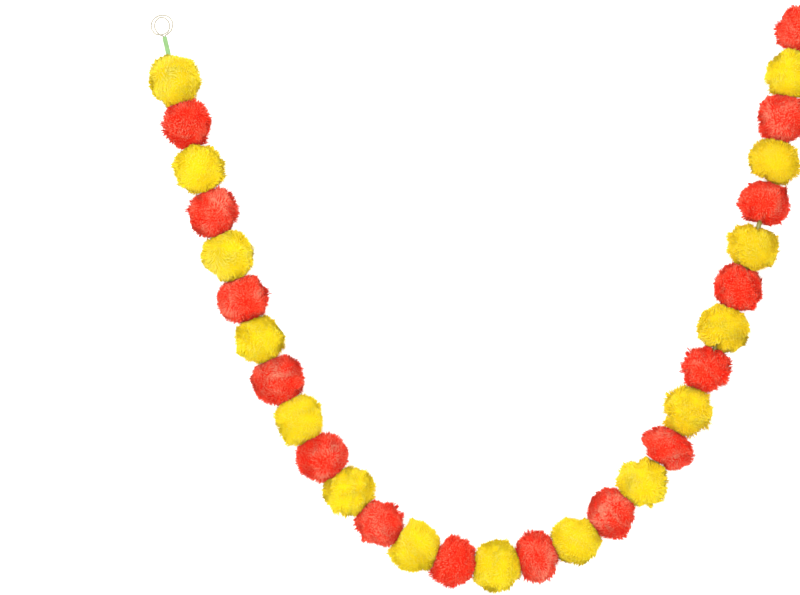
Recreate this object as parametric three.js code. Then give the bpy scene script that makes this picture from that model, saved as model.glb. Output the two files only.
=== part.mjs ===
// Artificial marigold garland. Thirty ruffled fabric blooms, yellow and orange-red by turns, are threaded on
// one cord. A green plastic tube keeps each two blooms apart, and one more tube stands out of the first and
// the last bloom, with a doubled loop of cord in its mouth to hang the garland by. The garland lies on a flat
// surface in an open swag.
//
// Units are millimetres and +Z is up. The origin is on the surface, under the middle of the garland's box
// without the two loops, with +X from the first bloom's arm to the last bloom's arm and +Y up both arms.

import * as THREE from "three";

const { lerp, smoothstep, degToRad, seededRandom } = THREE.MathUtils;

// Driving dimensions.
const BLOOM_HALF_LENGTH = 26; // along the cord, at the garland's two ends
const CORD_HEIGHT = 25.5; // the blooms are pressed flat where they rest, so this is less than their radius
const TUBE_RADIUS = 2.8;
const TUBE_BORE_RADIUS = 2.2;
const TUBE_LENGTH = 50.5; // of each end tube
const TUBE_GAP = 2; // from a bloom's middle, where its layers are gathered on the cord, to a tube's end
const END_TUBE_DROP = 15; // degrees below level
const CORD_RADIUS = 0.85;
const KNOT = [[0, CORD_RADIUS], [1, 1.6], [3, 1.6], [4, CORD_RADIUS]]; // back from the cord's end, and radius
const LOOP_CORD_RADIUS = 0.8;
const LOOP_LENGTH = 28; // from the end tube's mouth to the far side of the outer turn

// The blooms in their order on the cord, as seen from above: x and y of the middle, and the radius from the
// cord to the tips of the ruffles.
const BLOOMS = [
  [-356, 238, 29], [-341, 186, 27], [-328, 136, 28.5], [-312, 86, 27.5], [-294, 37, 29],
  [-278, -12, 28.5], [-259, -59, 28], [-238, -104, 29.5], [-214, -149, 28], [-188, -192, 29],
  [-157, -230, 29.5], [-122, -267, 26], [-82, -294, 30], [-39, -311, 28.5], [10, -315, 29.5],
  [56, -304, 28.5], [101, -286, 27.5], [141, -255, 28.5], [176, -221, 29], [205, -181, 30],
  [228, -138, 28.5], [249, -91, 26.5], [268, -45, 29.5], [285, 0, 27.5], [302, 48, 29],
  [315, 97, 29], [326, 145, 29], [335, 194, 28.5], [344, 243, 28.5], [355, 294, 28.5],
];
const OPEN_GAPS = new Map([[19, 3], [22, 2.5], [25, 5]]); // after this bloom, the tube shows for so long
// How far the shared face of two blooms lies past the midpoint between them, by the bloom before it.
const FACE_SHIFTS = new Map([
  [1, 1.5], [5, 1.5], [12, 2], [13, 2.5], [15, 2.5], [16, -1.5], [19, 4], [20, -4], [27, -1.5], [29, 2],
]);
const FIRST_TUBE_HEADING = 104; // degrees from +X, seen from above
const LAST_TUBE_HEADING = 77;

// A bloom is a stack of gathered ruffles. Places along the cord are shares of the half length.
const SIDES = 14; // points round each ruffle, which zigzag
const RUFFLES = [-0.9, -0.54, -0.18, 0.18, 0.54, 0.9];
const CREASE_DEPTH = 0.25; // of the radius, between two ruffles
const ZIGZAG_ALONG = 0.055; // of the half length
const ZIGZAG_OUT = 0.07; // of the radius
const RAGGED = 0.06; // how far a tip may differ from its place, as a share of the radius
const LUMP_HEIGHT = 0.025; // of the radius
const FACE_PLACE = 0.93; // where the bore opens, as a share of the half length
const BORE_RADIUS = 3.3;
const ROUNDING = 0.91; // the share of the full ball's length that the flat faces leave
const PRESSED_TO = 0.6; // the ruffles nearer the bloom's middle than this are pressed flat underneath
const PRESSED_DEPTHS = [0.8, 0.9]; // the pressing sets in between these shares of the radius below the cord

// The hanging loop's route, from the tube's mouth: along the loop, across it, and over the plane it lies in.
// It runs round the wide outer turn, over its own start, round the narrow inner turn and back to the mouth.
const LOOP_TURNS = [
  [0, -1.05, 0], [1.8, -4.3, 0], [5, -8.9, 0], [14.5, -12.5, 0], [24, -8.9, 0], [LOOP_LENGTH, 0, 0],
  [24, 8.9, 0], [14.5, 12.5, 0], [5, 8.9, 0.5], [2, 4.6, 2.1], [1.4, 0.4, 2.5], [2.3, -2.8, 2.1],
  [5.2, -5.9, 0.5], [13.5, -8.6, 0], [21.6, -6.1, 0], [25.2, 0, 0], [21.6, 6.1, 0], [13.5, 8.6, 0],
  [5, 5.8, 0], [1.8, 2.9, 0], [0, 1.05, 0],
];
const LOOP_TAIL = 7; // how far each end of the loop goes into the tube
const LOOP_ROOT = 1.5; // past the mouth, where the loop starts to lean
const LOOP_REST = 0.1; // left under the loop's far side
const LOOP_STEPS = 48;
const ROUND_SIDES = 8; // of the cords and the spacer tubes
const END_TUBE_SEGMENTS = 12;
const KNOT_CLEARANCE = 0.6; // between the knot and the loop's ends, in the end tube

const UP = new THREE.Vector3(0, 0, 1);
const group = new THREE.Group();
const yellow = new THREE.MeshStandardMaterial({ color: "#ffe030", roughness: 0.85 });
const red = new THREE.MeshStandardMaterial({ color: "#ff4a35", roughness: 0.85 });
const green = new THREE.MeshStandardMaterial({ color: "#8ecb8c", roughness: 0.35 });
const white = new THREE.MeshStandardMaterial({ color: "#f6f4ec", roughness: 0.7 });

// One closed solid through rings of points that run anticlockwise about the way forward. A closed chain
// comes back to its first ring, and an open one gets a flat cap at each end.
function solidThroughRings(rings, closed) {
  const sides = rings[0].length;
  const index = [];
  const last = closed ? rings.length : rings.length - 1;
  for (let i = 0; i < last; i++) {
    const near = i * sides;
    const far = ((i + 1) % rings.length) * sides;
    for (let j = 0; j < sides; j++) {
      const k = (j + 1) % sides;
      index.push(near + j, near + k, far + k, near + j, far + k, far + j);
    }
  }
  if (!closed) {
    const end = (rings.length - 1) * sides;
    for (let j = 1; j < sides - 1; j++) {
      index.push(0, j + 1, j, end, end + j, end + j + 1);
    }
  }
  const geometry = new THREE.BufferGeometry().setFromPoints(rings.flat());
  geometry.setIndex(index);
  geometry.computeVertexNormals();
  return geometry;
}

// The two directions across a way forward: level to its left, and up.
function across(forward) {
  const side = new THREE.Vector3().crossVectors(UP, forward).normalize();
  return [side, new THREE.Vector3().crossVectors(forward, side)];
}

function ring(centre, forward, radius, sides) {
  const [side, up] = across(forward);
  return Array.from({ length: sides }, (_, j) => {
    const turn = (2 * Math.PI * (j + 0.5)) / sides;
    return centre
      .clone()
      .addScaledVector(side, radius * Math.cos(turn))
      .addScaledVector(up, radius * Math.sin(turn));
  });
}

function heading(degrees) {
  const [turn, drop] = [degToRad(degrees), degToRad(END_TUBE_DROP)];
  return new THREE.Vector3(Math.cos(turn) * Math.cos(drop), Math.sin(turn) * Math.cos(drop), -Math.sin(drop));
}

const centres = BLOOMS.map(([x, y]) => new THREE.Vector3(x, y, CORD_HEIGHT));
const ends = [heading(FIRST_TUBE_HEADING), heading(LAST_TUBE_HEADING)];

// For each bloom, the way and the distance to the faces that it shares with its neighbours.
function faceOf(i, step) {
  const neighbour = centres[i + step];
  if (!neighbour) return { way: ends[step < 0 ? 0 : 1], reach: BLOOM_HALF_LENGTH };
  const between = neighbour.clone().sub(centres[i]);
  const before = Math.max(i, i + step);
  const open = OPEN_GAPS.get(before) ?? 0;
  const shift = step * (FACE_SHIFTS.get(before) ?? 0);
  return { way: between.clone().normalize(), reach: (between.length() - open) / 2 + shift };
}

// The points round a bloom are counted from straight underneath.
const turnOf = (j) => -Math.PI / 2 + (2 * Math.PI * j) / SIDES;

// A bloom's surface. Its rings sit square to the cord, which bends in the bloom's middle: outer rings go
// from ruffle to crease to ruffle, and the bore brings the surface back along the tubes.
function bloom(i) {
  seededRandom(i + 1);
  const back = faceOf(i, -1);
  const ahead = faceOf(i, 1);
  const middle = ahead.way.clone().sub(back.way).normalize();
  const lumps = [2, 3].map((waves) => ({ waves, start: seededRandom() * 2 * Math.PI }));

  function point(place, turn, radius) {
    const face = place < 0 ? back : ahead;
    const square = middle.clone().multiplyScalar(1 - Math.abs(place));
    square.addScaledVector(face.way, place).normalize();
    const [side, up] = across(square);
    const at = centres[i].clone().addScaledVector(face.way, face.reach * Math.abs(place));
    at.addScaledVector(side, radius * Math.cos(turn)).addScaledVector(up, radius * Math.sin(turn));
    at.z = Math.max(0, at.z);
    return at;
  }

  // The outline is round, with two or three broad lumps, and the neighbours press its ends flat.
  function outline(place, turn) {
    const lump = lumps.reduce((sum, { waves, start }) => sum + Math.cos(waves * turn + start), 0);
    return BLOOMS[i][2] * Math.sqrt(1 - (ROUNDING * place) ** 2) * (1 + LUMP_HEIGHT * lump);
  }

  // One ruffle's ragged edge, or the crease between two. Underneath, the creases are pressed shut.
  function outerRing(place, isRuffle) {
    const parity = seededRandom() < 0.5 ? 1 : -1;
    return Array.from({ length: SIDES }, (_, j) => {
      const turn = turnOf(j);
      const zigzag = (j % 2 ? 1 : -1) * parity;
      const ragged = RAGGED * (2 * seededRandom() - 1);
      const pressed = Math.abs(place) < PRESSED_TO ? smoothstep(-Math.sin(turn), ...PRESSED_DEPTHS) : 0;
      const full = outline(place, turn);
      if (!isRuffle) return point(place, turn, full * lerp(1 - CREASE_DEPTH + ragged / 2, 1, pressed));
      const stand = 1 + ragged + ZIGZAG_OUT * zigzag * (1 - pressed);
      return point(place + ZIGZAG_ALONG * zigzag * (1 - pressed), turn, full * stand);
    });
  }

  function boreRing(place) {
    return Array.from({ length: SIDES }, (_, j) => point(place, turnOf(j), BORE_RADIUS));
  }

  const rings = [boreRing(-FACE_PLACE)];
  RUFFLES.forEach((place, k) => {
    if (k > 0) rings.push(outerRing((RUFFLES[k - 1] + place) / 2, false));
    rings.push(outerRing(place, true));
  });
  rings.push(boreRing(FACE_PLACE), boreRing(0));
  return solidThroughRings(rings, true);
}

centres.forEach((centre, i) => {
  const isYellow = i % 2 === 0;
  const mesh = new THREE.Mesh(bloom(i), isYellow ? yellow : red);
  mesh.name = `bloom_${String(i + 1).padStart(2, "0")}_${isYellow ? "yellow" : "red"}`;
  group.add(mesh);
});

// The stringing cord with the tubes that it carries between the blooms. It shows bare for a few millimetres
// in each bloom's middle, and ends in a knot inside each end tube.
function strungTubes() {
  const rings = [];
  const add = (from, way, distance, radius) =>
    rings.push(ring(from.clone().addScaledVector(way, distance), way, radius, ROUND_SIDES));
  const cordEnd = TUBE_GAP + TUBE_LENGTH - LOOP_TAIL - KNOT_CLEARANCE;

  const backwards = ends[0].clone().negate();
  KNOT.forEach(([back, radius]) => add(centres[0], backwards, back - cordEnd, radius));
  for (let i = 0; i + 1 < centres.length; i++) {
    const between = centres[i + 1].clone().sub(centres[i]);
    const far = between.length() - TUBE_GAP;
    const way = between.normalize();
    add(centres[i], way, TUBE_GAP, CORD_RADIUS);
    add(centres[i], way, TUBE_GAP, TUBE_RADIUS);
    add(centres[i], way, far, TUBE_RADIUS);
    add(centres[i], way, far, CORD_RADIUS);
  }
  KNOT.toReversed().forEach(([back, radius]) => add(centres.at(-1), ends[1], cordEnd - back, radius));
  return solidThroughRings(rings, false);
}

const strung = new THREE.Mesh(strungTubes(), green);
strung.name = "cord_with_spacer_tubes";
group.add(strung);

function addEnd(name, centre, way) {
  const start = centre.clone().addScaledVector(way, TUBE_GAP);
  const mouth = centre.clone().addScaledVector(way, TUBE_GAP + TUBE_LENGTH);

  const wall = new THREE.Shape().absarc(0, 0, TUBE_RADIUS, 0, 2 * Math.PI);
  wall.holes.push(new THREE.Path().absarc(0, 0, TUBE_BORE_RADIUS, 0, 2 * Math.PI, true));
  const tube = new THREE.ExtrudeGeometry(wall, {
    extrudePath: new THREE.LineCurve3(start, mouth),
    steps: 1,
    curveSegments: END_TUBE_SEGMENTS,
  });
  const tubeMesh = new THREE.Mesh(tube, green);
  tubeMesh.name = `end_tube_${name}`;
  group.add(tubeMesh);

  // The loop leans from the mouth down to the surface, where its far side rests.
  const root = mouth.clone().addScaledVector(way, LOOP_ROOT);
  const drop = Math.asin((root.z - LOOP_CORD_RADIUS - LOOP_REST) / LOOP_LENGTH);
  const level = new THREE.Vector3(way.x, way.y, 0).normalize();
  const along = level.clone().multiplyScalar(Math.cos(drop)).addScaledVector(UP, -Math.sin(drop));
  const [side, over] = across(along);
  const route = LOOP_TURNS.map(([a, b, c]) =>
    root.clone().addScaledVector(along, a).addScaledVector(side, b).addScaledVector(over, c),
  );
  const inTube = (depth, b) => mouth.clone().addScaledVector(way, -depth).addScaledVector(side, b);
  const first = LOOP_TURNS[0][1];
  route.unshift(inTube(LOOP_TAIL, first), inTube(LOOP_TAIL / 2, first));
  route.push(inTube(LOOP_TAIL / 2, -first), inTube(LOOP_TAIL, -first));
  const section = new THREE.Shape(
    Array.from({ length: ROUND_SIDES }, (_, j) => {
      const turn = (2 * Math.PI * j) / ROUND_SIDES;
      return new THREE.Vector2(LOOP_CORD_RADIUS * Math.cos(turn), LOOP_CORD_RADIUS * Math.sin(turn));
    }),
  );
  const loop = new THREE.ExtrudeGeometry(section, {
    extrudePath: new THREE.CatmullRomCurve3(route),
    steps: LOOP_STEPS,
  });
  const loopMesh = new THREE.Mesh(loop, white);
  loopMesh.name = `hanging_loop_${name}`;
  group.add(loopMesh);
}

addEnd("first", centres[0], ends[0]);
addEnd("last", centres.at(-1), ends[1]);

export default group;
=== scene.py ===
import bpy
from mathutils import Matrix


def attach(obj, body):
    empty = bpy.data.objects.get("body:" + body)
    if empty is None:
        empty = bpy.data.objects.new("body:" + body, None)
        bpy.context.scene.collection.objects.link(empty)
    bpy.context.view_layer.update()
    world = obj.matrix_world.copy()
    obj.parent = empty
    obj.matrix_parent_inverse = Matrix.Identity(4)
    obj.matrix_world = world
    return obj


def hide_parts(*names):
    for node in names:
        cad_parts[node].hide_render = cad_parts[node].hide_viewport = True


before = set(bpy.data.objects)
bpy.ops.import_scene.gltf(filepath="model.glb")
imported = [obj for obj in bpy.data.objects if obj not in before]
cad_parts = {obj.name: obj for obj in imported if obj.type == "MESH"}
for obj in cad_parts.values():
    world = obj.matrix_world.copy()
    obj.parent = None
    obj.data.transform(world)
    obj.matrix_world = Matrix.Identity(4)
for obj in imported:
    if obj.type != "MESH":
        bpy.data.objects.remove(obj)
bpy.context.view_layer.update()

from math import atan2, pi, radians

import bpy
import numpy as np

MM = 0.001

# Camera. It looks straight down on the garland through a long lens. The frame takes in the first end's
# loop and the bottom of the swag, and its right edge cuts through the last blooms.
PHOTO_MIDDLE = (-99.3 * MM, -9.9 * MM)
PHOTO_WIDTH = 909 * MM  # at the height of the cord
LENS, SENSOR = 100, 36

CORD_HEIGHT = 25.5 * MM  # of the stringing cord's middle over the table
lens = bpy.data.cameras.new("camera")
lens.lens, lens.sensor_width = LENS, SENSOR
camera = bpy.data.objects.new("camera", lens)
camera.location = (*PHOTO_MIDDLE, CORD_HEIGHT + PHOTO_WIDTH * LENS / SENSOR)
bpy.context.scene.collection.objects.link(camera)
bpy.context.scene.camera = camera


# Hanging loops. Each end of the garland has a loop of thin twisted white cord, wound twice round, with both
# its tails held in the end of the green tube. It stands out of the tube's mouth, and its far side lies on
# the table.
CORD_WHITE, CORD_SHADE = "#b2ab9b", "#807a68"
LOOP_CORD = 1.6 * MM  # the cord's thickness
LOOP_LENGTH = 28 * MM  # from the loop's root to the far side of its outer turn
STRAND_STEP = 3.2 * MM  # along the cord, from one of its three strands to the next
LOOP_CLEARANCE = 0.1 * MM  # between the far side and the table
LOOP_RINGS = 260
TUBE_GAP, TUBE_LENGTH = 2 * MM, 50.5 * MM  # from a bloom's middle to a tube, and an end tube's length
TUBE_DROP = radians(15)  # how steeply an end tube runs down towards the table
HEADINGS = {"first": radians(104), "last": radians(77)}  # of the end tubes, seen from above
# The middles of the first and the last bloom.
END_MIDDLES = {"first": (-356 * MM, 238 * MM, CORD_HEIGHT), "last": (355 * MM, 294 * MM, CORD_HEIGHT)}
LOOP_TAIL, LOOP_ROOT = 7 * MM, 1.5 * MM  # inside the tube, and straight on from its mouth to the root

# Points of the loop past its root: along it, across it, and over the plane it lies in.
LOOP_TURNS = MM * np.array([
    (0, -1.05, 0), (1.8, -4.3, 0), (5, -8.9, 0), (14.5, -12.5, 0), (24, -8.9, 0), (28, 0, 0),
    (24, 8.9, 0), (14.5, 12.5, 0), (5, 8.9, 0.5), (2, 4.6, 2.1), (1.4, 0.4, 2.5), (2.3, -2.8, 2.1),
    (5.2, -5.9, 0.5), (13.5, -8.6, 0), (21.6, -6.1, 0), (25.2, 0, 0), (21.6, 6.1, 0), (13.5, 8.6, 0),
    (5, 5.8, 0), (1.8, 2.9, 0), (0, 1.05, 0)])


def unit(v):
    """Vectors scaled to length one."""
    return v / np.linalg.norm(v, axis=-1, keepdims=True)


def across(forward):
    """The two directions across a way forward: level to its left, and up."""
    side = unit(np.cross((0.0, 0.0, 1.0), forward))
    return side, np.cross(forward, side)


def way_out(end):
    """The way that an end tube points: its heading seen from above, dropped towards the table."""
    turn = HEADINGS[end]
    level = np.cos(TUBE_DROP)
    return np.array([np.cos(turn) * level, np.sin(turn) * level, -np.sin(TUBE_DROP)])


def mouth_of(end):
    """The middle of an end tube's open mouth."""
    return END_MIDDLES[end] + way_out(end) * (TUBE_GAP + TUBE_LENGTH)


def loop_points(end):
    """The loop's points in space: the tails inside the tube, and the turns in a plane that leans from the
    root down to the table."""
    way = way_out(end)
    mouth = mouth_of(end)
    root = mouth + way * LOOP_ROOT
    drop = np.arcsin((root[2] - LOOP_CORD / 2 - LOOP_CLEARANCE) / LOOP_LENGTH)
    level = unit(way * (1, 1, 0))
    along = level * np.cos(drop) - np.array([0, 0, np.sin(drop)])
    side, over = across(along)
    turns = root + LOOP_TURNS @ np.stack([along, side, over])
    edge = side * LOOP_TURNS[-1, 1]
    tail = [mouth - way * LOOP_TAIL, mouth - way * LOOP_TAIL / 2]
    return np.array([tail[0] - edge, tail[1] - edge, *turns, tail[1] + edge, tail[0] + edge])


def smooth_path(points, count):
    """A centripetal Catmull-Rom curve: between two points it blends straight lines through four neighbours,
    whose knots are spaced by the square root of the points' distances. Sampled evenly along its length, it
    is given back with that length."""
    p = np.vstack([2 * points[0] - points[1], points, 2 * points[-1] - points[-2]])
    knots = np.r_[0, np.cumsum(np.sqrt(np.linalg.norm(np.diff(p, axis=0), axis=1)))]
    t = np.linspace(knots[1], knots[-2], 60 * len(points))
    k = np.clip(np.searchsorted(knots, t, side="right") - 1, 1, len(p) - 3)
    t0, t1, t2, t3 = (knots[k + j][:, None] for j in (-1, 0, 1, 2))
    p0, p1, p2, p3 = (p[k + j] for j in (-1, 0, 1, 2))
    t = t[:, None]
    a = (p0 * (t1 - t) + p1 * (t - t0)) / (t1 - t0)
    b = (p1 * (t2 - t) + p2 * (t - t1)) / (t2 - t1)
    c = (p2 * (t3 - t) + p3 * (t - t2)) / (t3 - t2)
    d = (a * (t2 - t) + b * (t - t0)) / (t2 - t0)
    e = (b * (t3 - t) + c * (t - t1)) / (t3 - t1)
    line = (d * (t2 - t) + e * (t - t1)) / (t2 - t1)
    run = np.r_[0, np.cumsum(np.linalg.norm(np.diff(line, axis=0), axis=1))]
    even = np.linspace(0, run[-1], count)
    return np.stack([np.interp(even, run, line[:, j]) for j in range(3)], 1), run[-1]


def piece_from(name, points, faces, material, smooth=60):
    """An object at the origin from vertex positions in metres and quads or triangles, shaded smooth
    except at edges sharper than the given number of degrees."""
    mesh = bpy.data.meshes.new(name)
    mesh.from_pydata(points.reshape(-1, 3), [], faces)
    mesh.update()
    mesh.shade_smooth()
    mesh.set_sharp_from_angle(angle=radians(smooth))
    mesh.materials.append(material)
    piece = bpy.data.objects.new(name, mesh)
    bpy.context.scene.collection.objects.link(piece)
    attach(piece, "root")
    return piece


def swept_faces(rings, sides):
    """Quads of a grid of rings by sides that closes round each ring, with a flat cap on both ends."""
    i, j = np.meshgrid(np.arange(rings - 1), np.arange(sides), indexing="ij")
    k = (j + 1) % sides
    quads = np.stack([i * sides + j, i * sides + k, (i + 1) * sides + k, (i + 1) * sides + j], -1)
    last = (rings - 1) * sides
    caps = [list(range(sides))[::-1], list(range(last, last + sides))]
    return quads.reshape(-1, 4).tolist() + caps


def twisted(path, radius, sides=18):
    """A three-strand cord along a path: a circle whose radius has three cosine lobes, which turn by one lobe
    in each strand step. The frame is carried from ring to ring with the least turning."""
    forward = unit(np.gradient(path, axis=0))
    normal = np.empty_like(path)
    normal[0] = across(forward[0])[0]
    for i in range(1, len(path)):
        normal[i] = normal[i - 1] - forward[i] * (normal[i - 1] @ forward[i])
        normal[i] /= np.linalg.norm(normal[i])
    other = np.cross(forward, normal)
    run = np.r_[0, np.cumsum(np.linalg.norm(np.diff(path, axis=0), axis=1))][:, None]
    turn = np.linspace(0, 2 * pi, sides, endpoint=False)
    mean, lobe = 0.93, 0.09
    reach = radius * (mean + lobe * np.cos(3 * (turn - 2 * pi * run / (3 * STRAND_STEP))))[..., None]
    turn = turn[:, None]
    return path[:, None] + reach * (normal[:, None] * np.cos(turn) + other[:, None] * np.sin(turn))


def linear(code):
    """A colour for a shader from its sRGB hex code."""
    c = np.array([int(code[k:k + 2], 16) for k in (1, 3, 5)]) / 255
    return (*np.where(c <= 0.04045, c / 12.92, ((c + 0.055) / 1.055) ** 2.4), 1)


def add(tree, kind, settings=None, **inputs):
    """Adds a node with its settings, and gives each named input a value, or a link where it gets a socket.
    An input that shares its name with others is called by its number, as in_1."""
    made = tree.nodes.new(kind)
    for name, value in (settings or {}).items():
        setattr(made, name, value)
    for name, value in inputs.items():
        key = int(name[3:]) if name.startswith("in_") else name.replace("_", " ")
        if isinstance(value, bpy.types.NodeSocket):
            tree.links.new(value, made.inputs[key])
        else:
            made.inputs[key].default_value = value
    return made


def fresh_material(name):
    """A material with an empty node tree, and that tree."""
    material = bpy.data.materials.new(name)
    material.use_nodes = True
    material.node_tree.nodes.clear()
    return material, material.node_tree


def twisted_cotton():
    """White cotton cord, twisted from three strands: soft and dull, and mottled with grey by its fibres,
    which are drawn at 0.6 mm so that they show."""
    material, tree = fresh_material("twisted_white_cotton")
    place = add(tree, "ShaderNodeTexCoord").outputs["Object"]
    fibres = add(tree, "ShaderNodeTexNoise", Vector=place, Scale=1 / (0.6 * MM), Detail=3.0).outputs["Fac"]
    colour = add(tree, "ShaderNodeMix", {"data_type": "RGBA"}, Factor=fibres,
                 in_6=linear(CORD_SHADE), in_7=linear(CORD_WHITE)).outputs[2]
    bump = add(tree, "ShaderNodeBump", Height=fibres, Strength=0.3, Distance=0.1 * MM).outputs[0]
    cotton = add(tree, "ShaderNodeBsdfPrincipled", Base_Color=colour, Roughness=0.85, Normal=bump)
    add(tree, "ShaderNodeOutputMaterial", Surface=cotton.outputs[0])
    return material


cord_white = twisted_cotton()
for end in ("first", "last"):
    path, length = smooth_path(loop_points(end), LOOP_RINGS)
    grid = twisted(path, LOOP_CORD / 2)
    loop = piece_from(f"loop_cord_{end}", grid, swept_faces(*grid.shape[:2]), cord_white)
    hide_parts(f"hanging_loop_{end}")


# Green tubes. A short piece of soft green plastic tube spaces each two blooms, and a longer one shows past
# the first and the last bloom. They are milky, half clear extruded tube. The spacers are painted olive:
# a painted reflection of the yellow and red blooms round them, and painted shade between them.
TUBE_GREEN, TUBE_DEEP = "#b0d896", "#82b470"
# The spacers' olive colours are a painted reflection of the blooms and painted shade.
SPACER_PAINTED_OLIVE, SPACER_PAINTED_DEEP = "#c0c05c", "#92923a"
TUBE_OUTER, TUBE_INNER = 2.8 * MM, 2.2 * MM  # the wall's radii
TUBE_EDGE = 0.12 * MM  # how far the cut ends' edges are bevelled
TUBE_SIDES = 40
TUBE_CLEARNESS = 0.4  # the share of light that comes through the wall

# Each bloom's middle, seen from above, and its radius.
BLOOMS = MM * np.array([
    (-356, 238, 29), (-341, 186, 27), (-328, 136, 28.5), (-312, 86, 27.5), (-294, 37, 29),
    (-278, -12, 28.5), (-259, -59, 28), (-238, -104, 29.5), (-214, -149, 28), (-188, -192, 29),
    (-157, -230, 29.5), (-122, -267, 26), (-82, -294, 30), (-39, -311, 28.5), (10, -315, 29.5),
    (56, -304, 28.5), (101, -286, 27.5), (141, -255, 28.5), (176, -221, 29), (205, -181, 30),
    (228, -138, 28.5), (249, -91, 26.5), (268, -45, 29.5), (285, 0, 27.5), (302, 48, 29),
    (315, 97, 29), (326, 145, 29), (335, 194, 28.5), (344, 243, 28.5), (355, 294, 28.5)])
middles = np.c_[BLOOMS[:, :2], np.full(len(BLOOMS), CORD_HEIGHT)]
spans = np.diff(middles, axis=0)
spacing = np.linalg.norm(spans, axis=1)
ways = spans / spacing[:, None]


def tube_between(start, end):
    """A hollow tube from start to end: a profile of outer wall, bevelled edges and bore, carried round the
    straight line between them."""
    way = unit(end - start)
    side, up = across(way)
    far = np.linalg.norm(end - start)
    e = TUBE_EDGE
    profile = np.array([(0, TUBE_OUTER - e), (e, TUBE_OUTER), (far - e, TUBE_OUTER), (far, TUBE_OUTER - e),
                        (far, TUBE_INNER + e), (far - e, TUBE_INNER), (e, TUBE_INNER), (0, TUBE_INNER + e)])
    turn = np.linspace(0, 2 * pi, TUBE_SIDES, endpoint=False)[:, None]
    outward = side * np.cos(turn) + up * np.sin(turn)
    return start + way * profile[:, :1, None].transpose(0, 2, 1) + profile[:, 1, None, None] * outward


def tube_faces(profile, sides):
    """Quads of a surface that closes both round its profile and round its axis."""
    i, j = np.meshgrid(np.arange(profile), np.arange(sides), indexing="ij")
    k, n = (j + 1) % sides, (i + 1) % profile
    return np.stack([i * sides + j, i * sides + k, n * sides + k, n * sides + j], -1).reshape(-1, 4)


def milky_tube(name, deep, body):
    """Green polyethylene tube: extruded, half clear and slightly waxy, so light comes through its walls.
    Its colour clouds over about 9 mm."""
    material, tree = fresh_material(name)
    place = add(tree, "ShaderNodeTexCoord").outputs["Object"]
    cloud = add(tree, "ShaderNodeTexNoise", Vector=place, Scale=1 / (9 * MM), Detail=2.0).outputs["Fac"]
    colour = add(tree, "ShaderNodeMix", {"data_type": "RGBA"}, Factor=cloud,
                 in_6=linear(deep), in_7=linear(body)).outputs[2]
    wall = add(tree, "ShaderNodeBsdfPrincipled", Base_Color=colour, Roughness=0.3, IOR=1.5)
    glow = add(tree, "ShaderNodeBsdfTranslucent", Color=colour)
    both = add(tree, "ShaderNodeMixShader", Fac=TUBE_CLEARNESS, in_1=wall.outputs[0], in_2=glow.outputs[0])
    add(tree, "ShaderNodeOutputMaterial", Surface=both.outputs[0])
    return material


tube_green = milky_tube("milky_green_polyethylene", TUBE_DEEP, TUBE_GREEN)
# the spacers' olive is painted reflection and shade
spacer_painted_olive = milky_tube("milky_green_polyethylene_painted_olive", SPACER_PAINTED_DEEP, SPACER_PAINTED_OLIVE)
for end in ("first", "last"):
    start = END_MIDDLES[end] + way_out(end) * TUBE_GAP
    grid = tube_between(start, start + way_out(end) * TUBE_LENGTH)
    tube = piece_from(f"tube_{end}", grid, tube_faces(*grid.shape[:2]), tube_green)
    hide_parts(f"end_tube_{end}")

grids = np.array([tube_between(middles[i] + ways[i] * TUBE_GAP, middles[i + 1] - ways[i] * TUBE_GAP)
                  for i in range(len(ways))])
first = tube_faces(*grids.shape[1:3])
every = first + (np.arange(len(grids)) * grids[0, ..., 0].size)[:, None, None]
spacers = piece_from("spacer_tubes", grids, every.reshape(-1, 4), spacer_painted_olive)
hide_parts("cord_with_spacer_tubes")


# Stringing cord. One length of the same white cord runs through all the tubes and blooms. A knot at each of
# its ends, inside the end tubes, keeps them on it.
STRING_RADIUS, KNOT_RADIUS = 0.85 * MM, 1.6 * MM
KNOT_CLEARANCE = 0.6 * MM  # between the cord's end and the loop's tails
KNOT_PLACE, KNOT_HALF = 2 * MM, 1.2 * MM  # a knot's middle, from the cord's end, and half its length
KNOT_REGION = 6 * MM  # the cord's end with the knot, which has the closer rings
STRING_RINGS, KNOT_RINGS = 160, 25

string_end = TUBE_GAP + TUBE_LENGTH - LOOP_TAIL - KNOT_CLEARANCE
corners = np.vstack([middles[0] + way_out("first") * string_end, middles,
                     middles[-1] + way_out("last") * string_end])
corner_run = np.r_[0, np.cumsum(np.linalg.norm(np.diff(corners, axis=0), axis=1))]
close = np.linspace(0, KNOT_REGION, KNOT_RINGS)
run = np.unique(np.r_[close, np.linspace(0, corner_run[-1], STRING_RINGS), corner_run[-1] - close])
line = np.stack([np.interp(run, corner_run, corners[:, k]) for k in range(3)], 1)
grid = twisted(line, STRING_RADIUS, sides=10)
from_end = np.minimum(run, run[-1] - run)
swell = 1 + (KNOT_RADIUS / STRING_RADIUS - 1) * np.exp(-((from_end - KNOT_PLACE) / KNOT_HALF) ** 4)
grid = line[:, None] + (grid - line[:, None]) * swell[:, None, None]
string = piece_from("stringing_cord", grid, swept_faces(*grid.shape[:2]), cord_white)
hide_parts("cord_with_spacer_tubes")


# Blooms. Each is many layers of thin dyed fabric, their edges cut into narrow fringes, gathered on the cord
# and fluffed into a ball. The fringes stand outwards side by side and lean over each other in soft tufts.
# The deep colours paint shade towards the fringes' roots, and some random tone of the dye. The rim colours
# paint light coming through the cut tips, and sheen in the paler patches.
YELLOW_DEEP, YELLOW, YELLOW_RIM = "#ffe213", "#ffec1b", "#fff68e"
GOLD_DEEP, GOLD, GOLD_RIM = "#fbd813", "#fbe31b", "#fcf08c"
RED_DEEP, RED, RED_RIM = "#fa200a", "#ff4c2a", "#ffc4a2"
GOLDEN = {21, 23, 25, 27}  # yellow blooms whose dye came out deeper
SHEEN_TO_RIM = 0.45  # how far a patch of painted sheen of strength 1 goes, at most, towards the rim's colour
FABRIC_CLEARNESS = 0.35  # the share of light that comes through one layer

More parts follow.
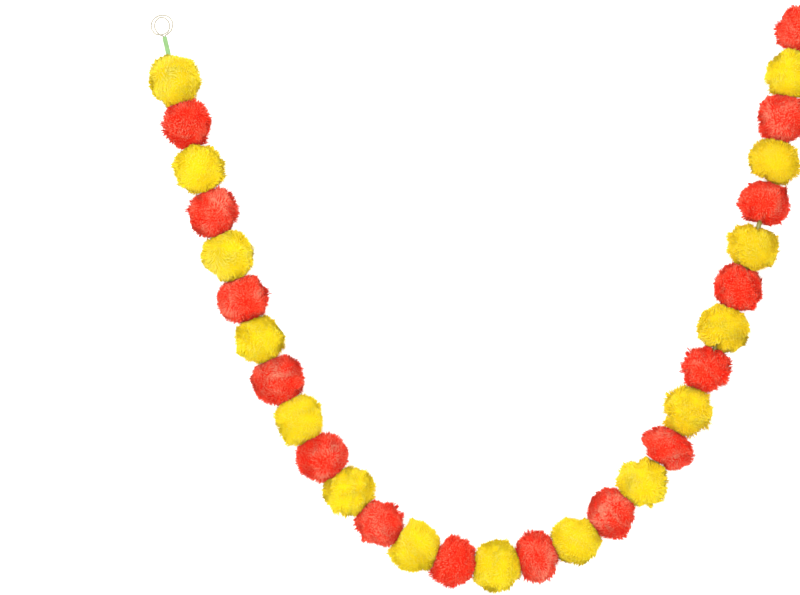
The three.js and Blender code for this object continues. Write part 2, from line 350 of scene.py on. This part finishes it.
ROUNDING = 0.88  # how far along a full ball's radius its flat faces cut in
FREE, ROOM, EASE = 0.8, 0.27, 0.25  # where the squash starts, how much it lets through, and how softly
END_REACH = 26 * MM  # from the middle to the outer face of the first and last bloom
OPEN_GAPS = {19: 3 * MM, 22: 2.5 * MM, 25: 5 * MM}  # after these blooms the tube shows
# From the midpoint between two blooms to their shared face, by the bloom before it.
FACE_SHIFTS = {1: 1.5 * MM, 5: 1.5 * MM, 12: 2 * MM, 13: 2.5 * MM, 15: 2.5 * MM, 16: -1.5 * MM, 19: 4 * MM,
               20: -4 * MM, 27: -1.5 * MM, 29: 2 * MM}
FACE_CUPS = {12: -4 * MM, 13: -3 * MM}  # how far a face's rim bends along the cord, by the bloom before it
FACE_WAVE = 1.4 * MM  # how far two blooms' shared face waves to and fro
PRESS = 3 * MM  # fringes that would reach lower than this are pressed up from the table

# The fringes and the heart under them. Sizes and reaches are shares of the bloom's radius.
FRINGES = 4300  # on each bloom
FRINGE_HALF, WIDTH_SPREAD = 0.024, 0.2  # half their middling width, and how much its logarithm varies
WIDEST = 0.7  # where along its length a fringe is widest
ROOT_REACH, FULL_REACH = 0.78, 1.06  # where the fringes start, and where the longest end
ROOT_JITTER = 0.015  # how far their roots stray from an even spiral
SWAY, OWN_SWAY = 0.06, 0.04  # how far the tips lean aside: with their neighbours, and each on its own
EVEN, RAGGED, BETWEEN = 0.14, 0.3, 0.22  # how unevenly long a bloom's fringes are
SMOOTH = {5, 8, 13, 15, 17, 18}  # the blooms with even fringes and no clefts
SHAGGY = {2, 4, 12, 21, 22, 26}  # the blooms with the most ragged fringes
STRAY, STRAYS = 0.06, (0.02, 0.07)  # how much farther a stray fringe reaches, and the share that stray
CORE_REACH = 0.885  # the gathered heart of the bloom
CORE_WAVE, CORE_CRUMPLE = 0.02, 0.012  # its even waves, and its random bumps
SHORTEST = 0.07  # how far even the shortest fringes stand out of it
SWELL = 0.012  # each of the four broad waves in a bloom's form
CLEFT_DEPTH, CLEFT_WIDTH = 0.06, 0.04  # narrow clefts between its tufts
OWN_SIDE = 2  # how much a fringe's own sides weigh in its shading

# Tufts and dents in the blooms' outlines, by bloom: heading seen from above, change of reach, and width,
# with both angles in degrees. Each runs from the bloom's top to its underside.
MARKS = {
    1: [(352, 0.07, 14), (66, -0.13, 12), (90, -0.07, 10), (220, 0.05, 18)],
    2: [(12, 0.10, 14), (52, 0.11, 14), (150, -0.06, 8), (190, 0.06, 14), (225, -0.09, 9), (330, -0.11, 8)],
    3: [(152, 0.12, 12), (176, 0.08, 8), (200, -0.12, 11), (335, 0.07, 12)],
    4: [(52, 0.10, 22), (165, -0.04, 8), (218, 0.12, 22), (338, -0.10, 12)],
    5: [(3, -0.13, 14), (62, 0.06, 18), (152, 0.10, 10), (178, 0.13, 10), (228, -0.12, 16)],
    6: [(0, 0.09, 8), (28, 0.07, 8), (62, 0.11, 8), (170, 0.13, 12), (218, 0.08, 14), (332, 0.06, 8)],
    7: [(8, 0.11, 18), (158, 0.09, 14), (208, 0.14, 14), (255, -0.09, 10)],
    8: [(45, 0.07, 10), (75, 0.06, 8), (152, 0.16, 10), (256, -0.07, 8), (345, 0.05, 8)],
    9: [(64, 0.10, 14), (202, -0.15, 16), (243, 0.10, 10), (345, -0.07, 8)],
    10: [(18, 0.10, 28), (76, -0.05, 8), (165, 0.06, 8), (192, 0.05, 10), (254, -0.07, 8)],
    11: [(28, 0.06, 8), (180, 0.09, 8), (244, -0.08, 9)],
    12: [(30, -0.10, 8), (82, -0.14, 14), (180, 0.11, 8), (205, 0.05, 10), (250, -0.13, 9)],
    13: [(30, -0.05, 8), (80, 0.10, 18), (105, 0.14, 12), (200, 0.16, 14), (232, 0.06, 10),
         (283, -0.14, 10)],
    14: [(55, 0.05, 14), (82, 0.09, 10), (104, 0.15, 12), (215, 0.15, 13), (278, -0.12, 12)],
    15: [(68, 0.05, 12), (105, -0.05, 8), (225, 0.06, 8), (315, -0.05, 8)],
    16: [(78, 0.06, 10), (242, 0.12, 11), (286, 0.06, 8), (340, -0.09, 10)],
    17: [(76, -0.22, 14), (98, -0.09, 12), (272, -0.07, 9), (330, -0.10, 7), (347, 0.06, 6)],
    18: [(0, -0.11, 9), (95, 0.08, 10), (150, -0.06, 8), (178, -0.09, 9), (290, 0.13, 17),
         (336, -0.09, 10)],
    19: [(15, -0.06, 8), (100, -0.24, 17), (158, 0.04, 10), (282, -0.15, 9),
         (38, 0.22, 10), (66, -0.20, 7)],
    20: [(174, 0.10, 9), (198, -0.07, 7), (268, 0.17, 9), (318, 0.11, 9),
         (222, 0.22, 10), (250, -0.10, 8)],
    21: [(18, -0.16, 11), (105, 0.07, 7), (126, -0.08, 9), (194, -0.27, 11), (300, -0.08, 20)],
    22: [(25, 0.15, 12), (120, 0.08, 8), (180, -0.08, 7), (210, 0.09, 7), (302, -0.15, 8),
         (52, 0.2, 9), (70, -0.25, 6), (84, 0.2, 8)],
    23: [(10, 0.10, 12), (145, 0.12, 14), (202, 0.10, 10), (300, 0.17, 15), (326, 0.12, 10),
         (232, 0.2, 9), (249, -0.30, 7), (264, 0.2, 8)],
    24: [(120, 0.05, 8), (160, 0.06, 12), (195, 0.05, 8), (302, 0.16, 9), (338, 0.10, 13),
         (70, -0.25, 6)],
    25: [(53, -0.09, 12), (127, 0.06, 11), (174, -0.14, 11), (205, -0.05, 10), (287, -0.07, 9),
         (79, -0.32, 8)],
    26: [(30, 0.05, 8), (150, 0.05, 8), (188, 0.09, 12), (275, 0.05, 10), (302, 0.10, 9), (328, 0.12, 10),
         (257, -0.30, 8)],
    27: [(162, 0.08, 20), (196, -0.05, 7), (226, -0.14, 9), (243, -0.25, 8)],
    28: [(120, 0.05, 8), (186, -0.09, 10)],
    29: [(136, -0.18, 11), (180, 0.09, 8), (205, -0.12, 9)],
    30: [(150, -0.23, 14), (186, -0.08, 16)]}

# Paler patches of painted sheen, by bloom: heading, share of the radius off the middle, size in degrees,
# and strength.
SHEEN_PATCHES = {
    1: [(120, 0.4, 45, 0.7)], 2: [(110, 0.8, 15, 0.5)], 4: [(40, 0.6, 32, 1.2), (260, 0.6, 20, 0.7)],
    5: [(215, 0.7, 35, 0.6)], 6: [(215, 0.65, 20, 0.9), (15, 0.7, 18, 0.8), (150, 0.6, 22, 0.4)],
    8: [(135, 0.55, 35, 0.8), (45, 0.6, 20, 0.6)], 9: [(90, 0.6, 25, 0.3)],
    10: [(25, 0.65, 30, 1.0), (275, 0.7, 18, 0.8), (130, 0.4, 15, 0.4)],
    12: [(250, 0.5, 40, 0.9), (120, 0.6, 30, 0.8)], 13: [(150, 0.3, 40, 0.2)],
    16: [(0, 0.7, 25, 1.0), (285, 0.6, 22, 1.0), (130, 0.5, 30, 0.5)],
    17: [(105, 0.35, 25, 0.5)], 18: [(185, 0.6, 25, 1.2), (95, 0.55, 28, 0.9), (240, 0.5, 30, 0.6)],
    19: [(170, 0.6, 30, 0.3)], 20: [(290, 0.6, 26, 0.9), (90, 0.7, 26, 0.8)], 22: [(130, 0.65, 20, 0.7)],
    26: [(320, 0.6, 12, 0.8), (80, 0.6, 15, 0.5)], 27: [(150, 0.5, 25, 0.2)],
    28: [(175, 0.75, 18, 1.2), (250, 0.6, 30, 0.9), (100, 0.4, 32, 0.7)], 30: [(200, 0.6, 30, 0.5)]}

# Which way and how far each bloom reaches, back and ahead, and the cord's way through its middle.
faces_apart = spacing - [OPEN_GAPS.get(i + 1, 0) for i in range(len(spacing))]
shifts = np.array([FACE_SHIFTS.get(i + 1, 0) for i in range(len(spacing))])
back_way, back_reach = np.vstack([way_out("first"), -ways]), np.r_[END_REACH, faces_apart / 2 - shifts]
ahead_way, ahead_reach = np.vstack([ways, way_out("last")]), np.r_[faces_apart / 2 + shifts, END_REACH]
cord_way = unit(ahead_way - back_way)
face_cups = np.array([0, *(FACE_CUPS.get(i + 1, 0) for i in range(len(BLOOMS)))])
face_turns = np.random.default_rng(7).uniform(0, 2 * pi, (len(BLOOMS) + 1, 3))


def in_bloom(i, ball):
    """Carries points of a unit ball into bloom i. x runs along the cord and is squashed flat at both faces
    by a tanh, and y and z lie across it. The section turns with the cord's bend. Each face waves with the
    angle round the cord and is cupped with the square of the distance from it, as its neighbour's is. Low
    points are pressed up by an exponential, so that they stay over the table."""
    full = np.abs(ball[..., :1]) / ROUNDING
    place = np.where(full < FREE, full, FREE + ROOM * np.tanh((full - FREE) / EASE))
    ahead = ball[..., :1] >= 0
    way = np.where(ahead, ahead_way[i], back_way[i])
    reach = np.where(ahead, ahead_reach[i], back_reach[i])
    square = unit(cord_way[i] * (1 - place) + way * np.where(ahead, place, -place))
    side, up = across(square)
    y, z = ball[..., 1:2], ball[..., 2:3]
    at = middles[i] + way * reach * place + BLOOMS[i, 2] * (side * y + up * z)
    off = np.hypot(y, z)
    turn = np.arctan2(z, y)
    a, b, c = np.moveaxis(face_turns[np.where(ahead, i + 1, i)], -1, 0)
    wave = np.cos(2 * turn + a) + 0.7 * np.cos(3 * turn + b) + 0.5 * np.cos(7 * turn + c)
    off_cord = np.clip(off / 0.6, 0, 1)
    cup = face_cups[np.where(ahead, i + 1, i)] * off ** 2
    at = at + cord_way[i] * (FACE_WAVE / 2 * wave * off_cord + cup) * np.clip(place, 0, 1) ** 4
    height = at[..., 2]
    at[..., 2] = np.where(height < PRESS, PRESS * np.exp(np.minimum(height, PRESS) / PRESS - 1), height)
    return at


def fringe_faces(count):
    """Triangles of many closed spindles: three from the root to the widest ring, and three to the tip."""
    spindle = [(0, 2, 1), (0, 3, 2), (0, 1, 3), (4, 1, 2), (4, 2, 3), (4, 3, 1)]
    return (np.array(spindle) + 5 * np.arange(count)[:, None, None]).reshape(-1, 3).tolist()


def fringes(i, rng, sway, rough):
    """Fringes of a unit ball, spread over it on a golden-angle spiral. Each is a slender spindle: a root
    point, a ring of three corners where it is widest, and a tip. v runs along it. Its middle goes straight
    out and sways aside with v squared, by waves over the ball that are the same for its neighbours and by
    a little of its own. Its reach varies in tufts. With each corner come its painted sheen, its v and its
    tint."""
    k = np.arange(FRINGES) + 0.5
    x = 1 - 2 * k / FRINGES
    turn = k * pi * (3 - np.sqrt(5))
    flat = np.sqrt(1 - x ** 2)
    spiral = np.stack([x, flat * np.cos(turn), flat * np.sin(turn)], -1)
    out = unit(spiral + rng.normal(0, ROOT_JITTER, (FRINGES, 3)))

    def waves(count, bends):
        """The sum of cosine waves over the ball, with a random way, pace and start for each."""
        return sum(np.cos(out @ rng.normal(0, bends, (3, 1)) + rng.uniform(0, 2 * pi))
                   for _ in range(count))

    shared = np.hstack([waves(3, 4), waves(3, 4), waves(3, 4)])
    lean = sway * shared + rng.normal(0, OWN_SWAY, (FRINGES, 3))
    lean -= out * (lean * out).sum(1, keepdims=True)
    wide = unit(np.cross(out, lean))
    back = np.cross(out, wide)

    v = np.array([0, WIDEST, WIDEST, WIDEST, 1])[:, None]
    sideways, raised = np.array([[0, 1, 0, -1, 0], [0, 0, 1, 0, 0]])[..., None]
    each = (FRINGES, 1, 1)
    stray = rng.random(each) < rng.uniform(*STRAYS)
    tuft = waves(4, 7)[:, None]
    streak = waves(5, 16)[:, None]
    reach = FULL_REACH - rough * rng.random(each) + 0.2 * rough * (tuft + streak / 2) + STRAY * stray
    reach = np.maximum(reach, CORE_REACH + SHORTEST * rng.uniform(0.7, 1.3, each))
    half = FRINGE_HALF * np.exp(rng.normal(0, WIDTH_SPREAD, each))
    spread = half * (wide[:, None] * sideways + back[:, None] * raised)
    middle = unit(out[:, None] + lean[:, None] * v ** 2) * (ROOT_REACH + (reach - ROOT_REACH) * v)
    tint = 0.5 * rng.random(each) + 0.5 * np.clip(0.5 + (tuft + streak) / 6, 0, 1)
    # painted sheen on each fringe, from its bloom's patches
    pale = painted_sheen(i, out)[:, None, None] * rng.uniform(0.3, 1, each)
    facts = [np.broadcast_to(fact, spread.shape[:2] + (1,)) for fact in (pale, v, tint)]
    return middle + spread, np.concatenate(facts, -1)


def heart(rng):
    """The crumpled heart under the fringes: a ball whose reach varies by cosine waves, nine of them round
    it, and by random bumps. It is a grid of rings that two flat caps close. With each point come no
    painted sheen, a middling v, which gives it part of the painted shade of the fringes' roots, and a
    random tint."""
    rings, sides = 30, 44
    u = (np.arange(rings) + 0.5)[:, None] / rings * pi
    turn = np.arange(sides)[None, :] / sides * 2 * pi
    wave = np.cos(9 * turn + 5 * np.cos(7 * u) + rng.uniform(0, 6)) * np.sin(11 * u)
    reach = CORE_REACH + CORE_WAVE * wave + CORE_CRUMPLE * rng.normal(0, 1, (rings, sides))
    x, y, z = np.cos(u), np.sin(u) * np.cos(turn), np.sin(u) * np.sin(turn)
    points = np.stack([x * reach, y * reach, z * reach], -1)
    facts = np.stack([np.zeros_like(reach), np.full_like(reach, 0.5), rng.random(reach.shape)], -1)
    return points, facts


def seen_at(i, heading, off):
    """The point of bloom i's unit ball at a heading seen from above and a share of the radius off its
    middle."""
    turn = radians(heading)
    way = np.array([np.cos(turn) * off, np.sin(turn) * off, np.sqrt(1 - off ** 2)])
    side, up = across(cord_way[i])
    return np.array([way @ cord_way[i], way @ side, way @ up])


def painted_sheen(i, out):
    """How far painted sheen pales bloom i at points of its unit ball: a Gaussian spot for each of its
    patches.
    """
    pale = np.zeros(len(out))
    for heading, off, size, strength in SHEEN_PATCHES.get(i + 1, []):
        apart = np.arccos(np.clip(out @ seen_at(i, heading, off), -1, 1))
        pale = pale + strength * np.exp(-(apart / radians(size)) ** 2)
    return pale


def swelling(i, out, cleft):
    """How far bloom i swells in each direction, as a factor: by four broad cosine waves, by four clefts of
    the given depth with a Gaussian section, and by a Gaussian ridge or groove for each of its marks."""
    rng = np.random.default_rng(200 + i)
    swell = np.ones(out.shape[:-1] + (1,))
    for _ in range(4):
        swell = swell + SWELL * np.cos(out @ rng.normal(0, 2.2, (3, 1)) + rng.uniform(0, 2 * pi))
    for _ in range(0 if i + 1 in SMOOTH else 4):
        plane, middle = unit(rng.normal(0, 1, (2, 3)))
        near = np.exp(-((out @ plane[:, None]) / CLEFT_WIDTH) ** 2) * np.clip(out @ middle[:, None], 0, 1)
        swell = swell - cleft * near
    rise = out[..., 2:3]
    for heading, change, width in MARKS.get(i + 1, []):
        toward, aside = seen_at(i, heading, 1), seen_at(i, heading + 90, 1)
        away = np.arctan2(out @ aside[:, None], out @ toward[:, None])
        swell = swell + change * np.exp(-(away / radians(width)) ** 2) * (1 - rise ** 2)
    return swell


def own_side(points, start):
    """For each ring corner of the fringes, which come before the heart's start, the way off its fringe's
    middle, OWN_SIDE long. It is zero elsewhere."""
    sides = np.zeros_like(points)
    ring = points[:start].reshape(-1, 5, 3)[:, 1:4]
    sides[:start].reshape(-1, 5, 3)[:, 1:4] = OWN_SIDE * unit(ring - ring.mean(1, keepdims=True))
    return sides


def fringed_fabric(name, deep, body, rim):
    """Thin dyed polyester, cut into fringes: dull with a soft sheen. Its colour is painted deeper towards
    the roots, as shade down among the fringes, and painted paler at the cut tips, as light that comes
    through one layer, and in patches of painted sheen. The dye is mottled over about 5 mm, and the weave's
    grain is drawn at 1.5 mm so that it shows."""
    material, tree = fresh_material(name)
    place = add(tree, "ShaderNodeTexCoord").outputs["Object"]
    facts = add(tree, "ShaderNodeAttribute", {"attribute_name": "fringe"}).outputs["Vector"]
    split = add(tree, "ShaderNodeSeparateXYZ", Vector=facts)
    pale, along, tint = split.outputs
    mottle = add(tree, "ShaderNodeTexNoise", Vector=place, Scale=1 / (5 * MM), Detail=3.0).outputs["Fac"]
    # Deeper towards the roots: painted shade down among the fringes.
    low = add(tree, "ShaderNodeMapRange", Value=along, From_Min=0.1, From_Max=0.85).outputs[0]
    # Paler towards the cut tips: painted light that comes through one layer.
    high = add(tree, "ShaderNodeMapRange", Value=along, From_Min=0.78, From_Max=1.0, To_Max=0.85).outputs[0]
    vary = add(tree, "ShaderNodeMath", {"operation": "MULTIPLY"}, in_0=tint, in_1=mottle).outputs[0]
    shade = add(tree, "ShaderNodeMath", {"operation": "SUBTRACT", "use_clamp": True},
                in_0=low, in_1=vary).outputs[0]
    dyed = add(tree, "ShaderNodeMix", {"data_type": "RGBA"}, Factor=shade,
               in_6=linear(deep), in_7=linear(body)).outputs[2]
    # Patches of painted sheen, led part of the way towards the rim's colour.
    sheen_share = add(tree, "ShaderNodeMath", {"operation": "MULTIPLY"}, in_0=pale, in_1=SHEEN_TO_RIM).outputs[0]
    tip = add(tree, "ShaderNodeMath", {"operation": "MULTIPLY_ADD"},
              in_0=high, in_1=tint, in_2=sheen_share).outputs[0]
    colour = add(tree, "ShaderNodeMix", {"data_type": "RGBA"}, Factor=tip,
                 in_6=dyed, in_7=linear(rim)).outputs[2]
    fine = add(tree, "ShaderNodeTexNoise", Vector=place, Scale=1 / (1.5 * MM), Detail=3.0).outputs["Fac"]
    bump = add(tree, "ShaderNodeBump", Height=fine, Strength=0.3, Distance=0.3 * MM).outputs[0]
    cloth = add(tree, "ShaderNodeBsdfPrincipled", Base_Color=colour, Roughness=0.8, Normal=bump,
                Sheen_Weight=0.05, Sheen_Roughness=0.5, Specular_IOR_Level=0.1)
    glow = add(tree, "ShaderNodeBsdfTranslucent", Color=colour, Normal=bump)
    both = add(tree, "ShaderNodeMixShader", Fac=FABRIC_CLEARNESS,
               in_1=cloth.outputs[0], in_2=glow.outputs[0])
    add(tree, "ShaderNodeOutputMaterial", Surface=both.outputs[0])
    return material


fabrics = {"yellow": fringed_fabric("yellow_fringed_polyester", YELLOW_DEEP, YELLOW, YELLOW_RIM),
           "gold": fringed_fabric("golden_fringed_polyester", GOLD_DEEP, GOLD, GOLD_RIM),
           "red": fringed_fabric("red_fringed_polyester", RED_DEEP, RED, RED_RIM)}
for i in range(len(BLOOMS)):
    colour = ("yellow", "red")[i % 2]
    rng = np.random.default_rng(100 + i)
    dye = "gold" if i + 1 in GOLDEN else colour
    rough = EVEN if i + 1 in SMOOTH else RAGGED if i + 1 in SHAGGY else BETWEEN
    fan, fan_facts = fringes(i, rng, SWAY * rng.uniform(0.7, 1.4), rough)
    ball, ball_facts = heart(rng)
    fan = fan * swelling(i, unit(fan[:, :1]), CLEFT_DEPTH)
    ball = ball * swelling(i, unit(ball), 0)
    points = in_bloom(i, np.vstack([fan.reshape(-1, 3), ball.reshape(-1, 3)]))
    start = fan[..., 0].size
    inner = [[corner + start for corner in face[::-1]] for face in swept_faces(*ball.shape[:2])]
    faces = fringe_faces(FRINGES) + inner
    bloom = piece_from(f"petals_{i + 1:02d}_{colour}", points, faces, fabrics[dye], smooth=180)
    # A thin fringe shades in part with the ball that it stands on, and in part with its own sides.
    shading = unit(unit(points - middles[i]) + own_side(points, start))
    bloom.data.normals_split_custom_set_from_vertices(shading)
    facts = bloom.data.attributes.new("fringe", "FLOAT_VECTOR", "POINT")
    values = np.vstack([fan_facts.reshape(-1, 3), ball_facts.reshape(-1, 3)])
    facts.data.foreach_set("vector", values.ravel())
    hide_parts(f"bloom_{i + 1:02d}_{colour}")


# Floor. The garland lies on a plain white light table. Its board is painted dull white and glows a little,
# which keeps the shadows on it faint.
FLOOR_WHITE = "#f8f8f7"
FLOOR_GLOW = 0.45
FLOOR_HALF = 6  # half its side, in metres


def matte_board():
    """Plain painted board: dull white, and lit a little from behind."""
    material, tree = fresh_material("matte_white_board")
    paint = add(tree, "ShaderNodeBsdfPrincipled", Base_Color=linear(FLOOR_WHITE), Roughness=0.9,
                Emission_Color=linear(FLOOR_WHITE), Emission_Strength=FLOOR_GLOW)
    add(tree, "ShaderNodeOutputMaterial", Surface=paint.outputs[0])
    return material


board = np.array([(-1, -1, 0), (1, -1, 0), (1, 1, 0), (-1, 1, 0)]) * FLOOR_HALF
mesh = bpy.data.meshes.new("floor")
mesh.from_pydata(board, [], [(0, 1, 2, 3)])
mesh.materials.append(matte_board())
floor = bpy.data.objects.new("floor", mesh)
bpy.context.scene.collection.objects.link(floor)


# Light. Even studio light from all round, a large soft lamp beside the camera, and a weaker one at the
# upper left.
CAMERA_LAMP, SIDE_LAMP = 51, 5  # in watts
CAMERA_LAMP_SIZE, SIDE_LAMP_SIZE = 0.8, 1.2  # in metres, like their places
CAMERA_LAMP_PLACE = np.array([*PHOTO_MIDDLE, 2.6]) + [-0.15, 0.15, 0]
SIDE_LAMP_PLACE = np.array([-0.9, 0.9, 1.7])
WORLD_LIGHT = 1.15


def soft_lamp(name, place, size, power):
    """A square area lamp that looks at the middle of the frame."""
    data = bpy.data.lights.new(name, "AREA")
    data.shape, data.size, data.energy = "SQUARE", size, power
    lamp = bpy.data.objects.new(name, data)
    lamp.location = place
    aim = np.array([*PHOTO_MIDDLE, 0]) - place
    lamp.rotation_euler = (atan2(np.hypot(aim[0], aim[1]), -aim[2]), 0, atan2(aim[1], aim[0]) - pi / 2)
    bpy.context.scene.collection.objects.link(lamp)


soft_lamp("camera_softbox", CAMERA_LAMP_PLACE, CAMERA_LAMP_SIZE, CAMERA_LAMP)
soft_lamp("side_softbox", SIDE_LAMP_PLACE, SIDE_LAMP_SIZE, SIDE_LAMP)

world = bpy.data.worlds.new("studio")
world.use_nodes = True
world.node_tree.nodes.clear()
sky = add(world.node_tree, "ShaderNodeBackground", Color=(1, 1, 1, 1), Strength=WORLD_LIGHT)
add(world.node_tree, "ShaderNodeOutputWorld", Surface=sky.outputs[0])
bpy.context.scene.world = world
bpy.context.scene.view_settings.view_transform = "Standard"
